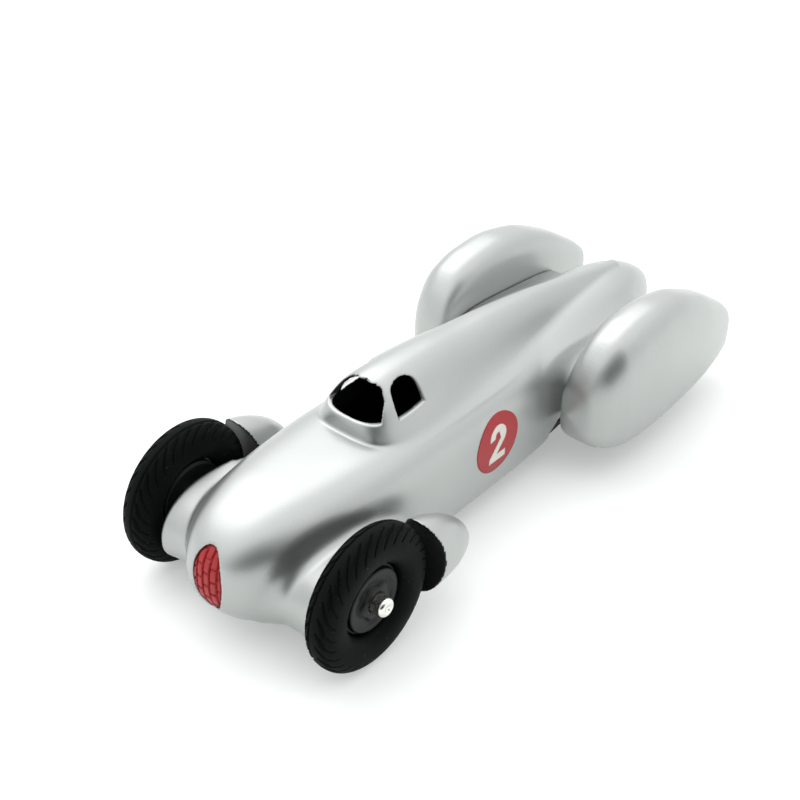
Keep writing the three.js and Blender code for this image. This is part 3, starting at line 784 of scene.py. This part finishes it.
def make_spat(name):
    """Teardrop housing over a rear wheel, open underneath."""
    space = Field((-80, 14.4, 4), (-13, 32, 38.5))
    outer = soften(space.of(pod()))
    shell = cut(outer, space.of(pod_inside()), 0.35)
    shell = cut(shell, space.of(rod(REAR_AXLE_X, AXLE_Z, AXLES["rear"][1] + AXLE_PLAY, 12, 22)), 0.2)

    def inside(middles):
        return (space.sample(outer, middles) < -0.7).astype(int)

    return piece_from(name, space, shell, 70000, [PAINT, DARK], inside)


def make_fairing(name):
    """Tapered cover behind a front wheel, scooped out to clear the tyre."""
    space = Field((24.6, 11.6, 2), (50, 32.4, 30))
    solid = join(space.of(fairing_body()), space.of(stub()), 0.6)
    scoop = space.of(rod(FRONT_AXLE_X, AXLE_Z, WHEEL_R + 1.5, 8, 36))
    solid = cut(soften(solid), scoop, 0.15)

    # The faces scooped round the tyre are given the black material instead of the silver paint.
    def hollow_face(middles):
        return (space.sample(scoop, middles) < 0.25).astype(int)

    return piece_from(name, space, solid, 30000, [PAINT, BLACK], hollow_face)


# ---------- wheels ----------
def turned(profile, x, z, n, shape=None):
    """Closed ring turned about the Y line through (x, z). shape(angle, radius, y) may change the radius."""
    p = np.array(profile, float)
    a = 2 * math.pi * np.arange(n) / n
    angle = a[:, None] + np.zeros(len(p))
    radius = p[:, 0] + np.zeros((n, 1))
    y = p[:, 1] + np.zeros((n, 1))
    if shape:
        radius, y = shape(angle, radius, y)
    points = np.stack([x + radius * np.cos(angle), y, z + radius * np.sin(angle)], -1)
    index = np.arange(n * len(p)).reshape(n, len(p))
    down = np.roll(index, -1, axis=0)
    across = np.roll(index, -1, axis=1)
    both_ways = np.roll(down, -1, axis=1)
    quads = np.stack([index, across, both_ways, down], -1).reshape(-1, 4)
    return points.reshape(-1, 3), quads


def spin(name, profile, x, z, n, materials, shape=None, closed_on_axis=False):
    """Turned piece; a profile that starts and ends on the axis is welded there."""
    points, quads = turned(profile, x, z, n, shape)
    return turn_outwards(add_mesh(name, points, quads, materials), weld=closed_on_axis)


TREAD_CUTS = 30
TREAD_DEEP = 0.6


def tyre_profile(half):
    """Section of the tyre: bore, dished lip, round sidewalls and crown, as (radius, y)."""
    t = np.linspace(-1, 1, 61)
    y = half * np.sin(t * math.pi / 2)
    crown = 11.6 + (WHEEL_R - 11.6) * (1 - np.minimum(1, np.abs(y / half)) ** 2.35) ** (1 / 2.35)
    top = list(zip(crown, y))
    lip = [(10.6, 0.04), (9.6, 0.3), (8.9, 0.75), (8.4, 1.3), (BORE_R, 1.75), (BORE_R, half - 0.5)]
    right = [(r, half - v) for r, v in lip]
    left = [(r, -v) for r, v in right][::-1]
    return top + right + [(BORE_R, 0.0)] + left


def tread(middle, out):
    """Cuts swept shoulder grooves, nicks between them and a groove round the crown."""
    def above(value, edge, width):
        """0 below the edge, rising to 1 over the width."""
        return np.clip((value - edge) / width, 0, 1)

    def shape(angle, radius, y):
        v = (y - middle) * out
        off = np.abs(v)
        sweep = angle + 0.10 * off + 0.012 * v * v
        turns = sweep * TREAD_CUTS / (2 * math.pi) + np.where(v > 0, 0.5, 0)
        phase = np.abs(np.mod(turns, 1) - 0.5)
        groove = above(-phase, -0.115, 0.045) * above(off, 0.75, 0.2)
        nick = above(-np.abs(phase - 0.27), -0.05, 0.03) * above(off, 1.5, 0.2) * above(-off, -2.5, 0.2)
        nick = nick * np.where(np.mod(np.floor(turns), 3) > 0, 0.8, 0.2)
        ring = above(-np.abs(v + 0.75), -0.22, 0.12)
        deep = np.maximum(np.maximum(groove, ring), nick) * above(radius, 13.0, 0.7)
        return radius - TREAD_DEEP * deep, y

    return shape


def tyre(name, x, middle, half, out):
    profile = [(r, middle + out * y) for r, y in tyre_profile(half)]
    n = TREAD_CUTS * 22
    return spin(name, profile, x, AXLE_Z, n, [RUBBER], tread(middle, out))


def hub(name, x, middle, out, bore):
    """Black disc with a channel at its rim and a lobed boss round the axle."""
    profile = [
        (bore, -2.6), (7.2, -2.6), (7.8, -2.2), (7.8, 0.6), (7.55, 0.9), (7.2, 0.9), (7.0, 1.2), (7.0, 1.75),
        (6.85, 1.95), (6.5, 2.0), (5.6, 1.95), (5.0, 1.75), (4.5, 1.7), (4.2, 1.8), (3.9, 2.2), (3.6, 2.4),
        (bore + 0.5, 2.55), (bore + 0.25, 2.5), (bore, 2.3),
    ]
    dense = []
    for (r0, y0), (r1, y1) in zip(profile, profile[1:] + profile[:1]):
        count = max(2, int(math.hypot(r1 - r0, y1 - y0) / 0.28))
        for k in range(count):
            t = k / count
            dense.append((r0 + (r1 - r0) * t, middle + out * (y0 + (y1 - y0) * t)))

    def lobes(angle, radius, y):
        v = (y - middle) * out
        near = np.exp(-((radius - 4.4) / 0.8) ** 2) * (v > 1.2)
        return radius + 0.45 * near * np.cos(5 * angle + 0.6), y

    return spin(name, dense, x, AXLE_Z, 180, [BLACK], lobes)


def axle(name, x, r, end):
    """Steel rod with rounded, dimpled ends."""
    dimple = [(0, end - 0.5), (0.2 * r, end - 0.45), (0.32 * r, end - 0.22), (0.42 * r, end - 0.04)]
    bend = np.linspace(0.15, 1, 9) * math.pi / 2
    edge = [(r * (0.55 + 0.45 * math.sin(a)), end - 0.45 * r * (1 - math.cos(a))) for a in bend]
    profile = dimple + edge + [(r, end - 3.0), (r, end - 6.0), (r, 0.0)]
    full = profile + [(q, -y) for q, y in profile[-2::-1]]
    return spin(name, full, x, AXLE_Z, 64, [STEEL], closed_on_axis=True)


def wheels_and_axles():
    for end, (x, middle, half) in WHEELS.items():
        body = f"{end}_wheels"
        for side, out in (("left", 1), ("right", -1)):
            obj = tyre(f"{end}_treaded_tyre_{side}", x, out * middle, half, out)
            finish_piece(obj, body, "tyre_rubber", f"{end}_tyre_{side}")
            obj = hub(f"{end}_dished_hub_{side}", x, out * middle, out, AXLES[end][1] + 0.05)
            finish_piece(obj, body, "black_plastic", f"{end}_hub_{side}")
        obj = axle(f"{end}_dimpled_axle", *AXLES[end])
        finish_piece(obj, body, "steel", f"{end}_axle")


# ---------- trim ----------
def surface(space, skin, place, axis, tries, inset=0.0):
    """Where the lines along an axis through the points meet the skin, moved in by inset."""
    points = np.array(place, float)
    best = np.full(len(points), np.nan)
    for value in tries:
        points[:, axis] = value
        d = space.sample(skin, points) + inset
        fresh = np.isnan(best) & (d >= 0)
        best[fresh] = value - d[fresh]
    return best


def brick_relief(y, z):
    """Height of the grille's rows of bars, 0 in the grooves to 1 on the bars."""
    pitch_y, pitch_z, line = 1.75, 3.0, 0.1
    row = np.floor(y / pitch_y + 0.5)
    in_y = np.abs(y / pitch_y - row) * pitch_y
    shifted = z / pitch_z + 0.5 * np.mod(row, 2)
    in_z = np.abs(shifted - np.round(shifted)) * pitch_z
    edge_y = pitch_y / 2 - in_y
    edge_z = pitch_z / 2 - in_z
    return np.clip((np.minimum(edge_y, edge_z) - line) / 0.22, 0, 1)


def patch(name, front, back, rings, material):
    """Closed thin piece from a polar net: rings of equal point counts, with a centre point."""
    count = len(front) - 1
    n = count // rings
    faces = []
    for base, flip in ((0, False), (count + 1, True)):
        for k in range(n):
            j = (k + 1) % n
            tri = [base, base + 1 + k, base + 1 + j]
            faces.append(tri[::-1] if flip else tri)
        for r in range(rings - 1):
            for k in range(n):
                j = (k + 1) % n
                a, b = base + 1 + r * n, base + 1 + (r + 1) * n
                quad = [a + k, b + k, b + j, a + j]
                faces.append(quad[::-1] if flip else quad)
    rim = 1 + (rings - 1) * n
    for k in range(n):
        j = (k + 1) % n
        faces.append([rim + k, count + 1 + rim + k, count + 1 + rim + j, rim + j])
    return turn_outwards(add_mesh(name, np.vstack([front, back]), faces, [material]))


def polar(a, b, rings, n):
    """Polar net over an ellipse: the centre, then rings outwards."""
    t = 2 * math.pi * np.arange(n) / n
    rows = [np.stack([np.zeros(1), np.zeros(1)], -1)]
    for k in range(1, rings + 1):
        rows.append(np.stack([a * k / rings * np.cos(t), b * k / rings * np.sin(t)], -1))
    return np.vstack(rows)


def nose_grille(space, skin):
    """Oval of raised bars, laid just behind the skin of the nose."""
    rings, n = 60, 220
    net = polar(GRILLE["half_w"], GRILLE["half_h"], rings, n)
    y, z = net[:, 0], GRILLE["z"] + net[:, 1]
    x = surface(space, skin, np.stack([0 * y, y, z], -1), 0, np.arange(60.0, 79.4, 0.1), GRILLE["deep"])
    rim = np.hypot(net[:, 0] / GRILLE["half_w"], net[:, 1] / GRILLE["half_h"])
    relief = brick_relief(y, z) * np.clip((1 - rim) / 0.06, 0, 1)
    front = np.stack([x + 0.15 + 0.6 * relief, y, z], -1)
    back = np.stack([x - 0.9, y, z], -1)
    obj = patch("brick_mesh_grille", front, back, rings, MESH_RED)
    finish_piece(obj, "chassis", "red_trim", "nose_grille")


def numeral():
    """Outline of a plain 2, about 9 high, from the bottom left corner."""
    middle, outer, inner = (2.75, 6.2), 2.75, 1.15

    def arc(radius, start, end, steps=22):
        a = np.radians(np.linspace(start, end, steps))
        return [(middle[0] + radius * math.cos(v), middle[1] + radius * math.sin(v)) for v in a]

    return (arc(outer, 192, -38) + [(2.35, 1.65), (5.5, 1.65), (5.5, 0), (0, 0), (0, 1.3)]
            + arc(inner, -42, 192))


def on_side(space, skin, outline, name, material, lift, side):
    """Closed thin piece with the outline (towards the tail for the left side, up), laid on the body side."""
    b = bmesh.new()
    verts = [b.verts.new((p[0], 0, p[1])) for p in outline]
    face = b.faces.new(verts)
    bmesh.ops.triangulate(b, faces=[face])
    bmesh.ops.subdivide_edges(b, edges=b.edges, cuts=5, use_grid_fill=True)
    bmesh.ops.triangulate(b, faces=b.faces)
    flat = np.array([v.co for v in b.verts])
    b.verts.index_update()
    faces = [[v.index for v in f.verts] for f in b.faces]
    rim = [[v.index for v in e.verts] for e in b.edges if e.is_boundary]
    b.free()
    x, z = ROUNDEL["x"] - side * flat[:, 0], ROUNDEL["z"] + flat[:, 2]
    y = surface(space, skin, np.stack([x, 0 * x, z], -1), 1, np.arange(9.0, 19.0, 0.1))
    front = np.stack([x, side * (y + lift), z], -1)
    back = np.stack([x, side * (y - 0.1), z], -1)
    count = len(flat)
    behind = [[count + i for i in f][::-1] for f in faces]
    edge = [[i, j, count + j, count + i] for i, j in rim]
    return turn_outwards(add_mesh(name, np.vstack([front, back]), faces + behind + edge, [material]))


def roundels(space, skin):
    """Red disc and pale race number on each side."""
    figure = np.array(numeral()) * 1.02
    figure -= (figure.max(0) + figure.min(0)) / 2
    for side, label in ((1, "left"), (-1, "right")):
        disc = oval(0, 0, ROUNDEL["r"], ROUNDEL["r"], 96)
        obj = on_side(space, skin, disc, f"red_roundel_{label}", RED, 0.12, side)
        finish_piece(obj, "chassis", "red_trim", f"roundel_{label}")
        obj = on_side(space, skin, figure, f"race_number_{label}", PALE, 0.2, side)
        finish_piece(obj, "chassis", "red_trim")


def carried_over():
    """Materials for the frame's own parts that stay in view."""
    by_slot = {"steel": STEEL, "brass": BRASS, "nylon": NYLON, "spring_steel": BLUED,
               "black_plastic": BLACK, "painted_body": PAINT, "red_trim": RED, "tyre_rubber": RUBBER}
    for part in frame["record"]["subparts"]:
        obj = frame["nodes"][part["node"]]
        obj.data.materials.clear()
        obj.data.materials.append(by_slot[part["material_slot"]])


# ---------- stage ----------
# brightness of the room by the sine of the elevation
ROOM = [
    (0.0, (0.80, 0.81, 0.81)), (0.42, (0.92, 0.93, 0.93)),
    (0.75, (1.15, 1.16, 1.16)), (1.0, (1.12, 1.13, 1.13)),
]
ROOM_STRENGTH = 1.4
# soft patches on the walls: azimuth, elevation, angle where they fade out, angle of the full patch, colour
PATCHES = [
    (-132, 53, 30, 6, (2.1, 2.1, 2.08)),
    (-92, 55, 32, 6, (2.1, 2.1, 2.08)),
    (52, 8, 60, 14, (0.02, 0.032, 0.034)),
]
# place in metres, angles in degrees, lens in millimetres on a 36 mm frame
CAMERA = {"place": (0.25404, 0.18826, 0.24095), "heading": 38.841, "down": 35.072, "roll": 1.874, "lens": 78.66}


def camera():
    a, e, roll = (math.radians(CAMERA[k]) for k in ("heading", "down", "roll"))
    look = Vector((-math.cos(a) * math.cos(e), -math.sin(a) * math.cos(e), -math.sin(e)))
    right = look.cross(Vector((0, 0, 1))).normalized()
    up = right.cross(look)
    x = right * math.cos(roll) + up * math.sin(roll)
    y = up * math.cos(roll) - right * math.sin(roll)
    data = bpy.data.cameras.new("camera")
    data.lens = CAMERA["lens"]
    data.sensor_width = 36
    data.clip_start = 0.01
    obj = link("camera", data)
    turn = Matrix((x, y, -look)).transposed().to_4x4()
    obj.matrix_world = Matrix.Translation(CAMERA["place"]) @ turn
    bpy.context.scene.camera = obj


def floor():
    """White paper with a weak glow, which keeps the shadows under the car light."""
    b = bmesh.new()
    bmesh.ops.create_grid(b, x_segments=8, y_segments=8, size=4.0)
    mesh = bpy.data.meshes.new("floor")
    b.to_mesh(mesh)
    b.free()
    n = Nodes("paper_floor")
    colour = n.mix(n.noise(3), (0.60, 0.61, 0.60), (0.62, 0.63, 0.62))
    mesh.materials.append(n.set(Base_Color=colour, Roughness=0.8,
                                Emission_Color=(0.97, 1.0, 0.985), Emission_Strength=0.38))
    link("floor", mesh)


def direction(azimuth, elevation):
    """Unit vector towards a point of the room, from angles in degrees."""
    a, e = math.radians(azimuth), math.radians(elevation)
    return Vector((math.cos(a) * math.cos(e), math.sin(a) * math.cos(e), math.sin(e)))


def studio():
    """A white room, brighter above, with soft patches of light on one side and a dim patch on the other."""
    world = bpy.data.worlds.new("studio")
    bpy.context.scene.world = world
    world.use_nodes = True
    tree = world.node_tree
    background = tree.nodes["Background"]
    place = tree.nodes.new("ShaderNodeTexCoord")
    split = tree.nodes.new("ShaderNodeSeparateXYZ")
    tree.links.new(place.outputs["Generated"], split.inputs[0])
    ramp = tree.nodes.new("ShaderNodeValToRGB")
    tree.links.new(split.outputs["Z"], ramp.inputs["Fac"])
    elements = ramp.color_ramp.elements
    while len(elements) < len(ROOM):
        elements.new(0.5)
    for element, (position, colour) in zip(elements, ROOM):
        element.position = position
        element.color = (*colour, 1)
    colour = ramp.outputs["Color"]
    for azimuth, elevation, outer, inner, tone in PATCHES:
        facing = tree.nodes.new("ShaderNodeVectorMath")
        facing.operation = "DOT_PRODUCT"
        facing.inputs[1].default_value = direction(azimuth, elevation)
        tree.links.new(place.outputs["Generated"], facing.inputs[0])
        fade = tree.nodes.new("ShaderNodeMapRange")
        fade.interpolation_type = "SMOOTHSTEP"
        tree.links.new(facing.outputs["Value"], fade.inputs["Value"])
        fade.inputs["From Min"].default_value = math.cos(math.radians(outer))
        fade.inputs["From Max"].default_value = math.cos(math.radians(inner))
        mix = tree.nodes.new("ShaderNodeMixRGB")
        tree.links.new(fade.outputs["Result"], mix.inputs["Fac"])
        tree.links.new(colour, mix.inputs["Color1"])
        mix.inputs["Color2"].default_value = (*tone, 1)
        colour = mix.outputs["Color"]
    tree.links.new(colour, background.inputs["Color"])
    background.inputs["Strength"].default_value = ROOM_STRENGTH
    bpy.context.scene.view_settings.view_transform = "Standard"


camera()
floor()
studio()
carried_over()
SPACE, SKIN = body_shell()
both("teardrop_spat", make_spat, "painted_body", "rear_spat")
both("wheel_fairing", make_fairing, "painted_body", "front_fairing")
wheels_and_axles()
nose_grille(SPACE, SKIN)
roundels(SPACE, SKIN)
